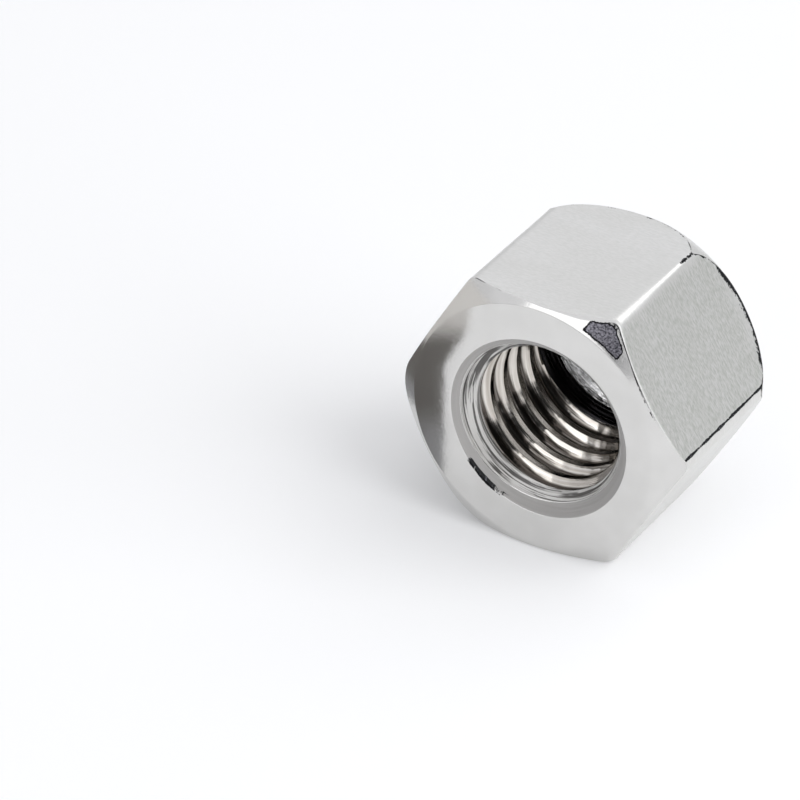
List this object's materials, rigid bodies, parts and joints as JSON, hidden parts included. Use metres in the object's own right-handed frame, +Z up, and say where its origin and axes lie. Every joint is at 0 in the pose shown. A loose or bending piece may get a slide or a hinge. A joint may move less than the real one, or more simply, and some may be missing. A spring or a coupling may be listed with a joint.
{
  "type": "cap nut",
  "caption": "Low hexagon cap nut in stainless steel: chamfered bearing face, countersunk blind tapped bore and a shallow domed crown that closes the far end.",
  "frame": {"origin": "under the middle of the nut's box, on the surface that it lies on; the bore's axis is 9.5 mm above it", "axes": "the nut lies on one of its six flats; +X across the corners, -Y out of the mouth of the bore, +Y towards the top of the crown, +Z up through the two level flats"},
  "size_m": [0.0216, 0.016, 0.019],
  "materials": {
    "stainless_steel": "bright cold-forged and turned stainless steel, smooth on the flats, with fine turning rings on the bearing face and countersink"
  },
  "bodies": {
    "root": {"cap_nut": "stainless_steel"}
  },
  "joints": []
}
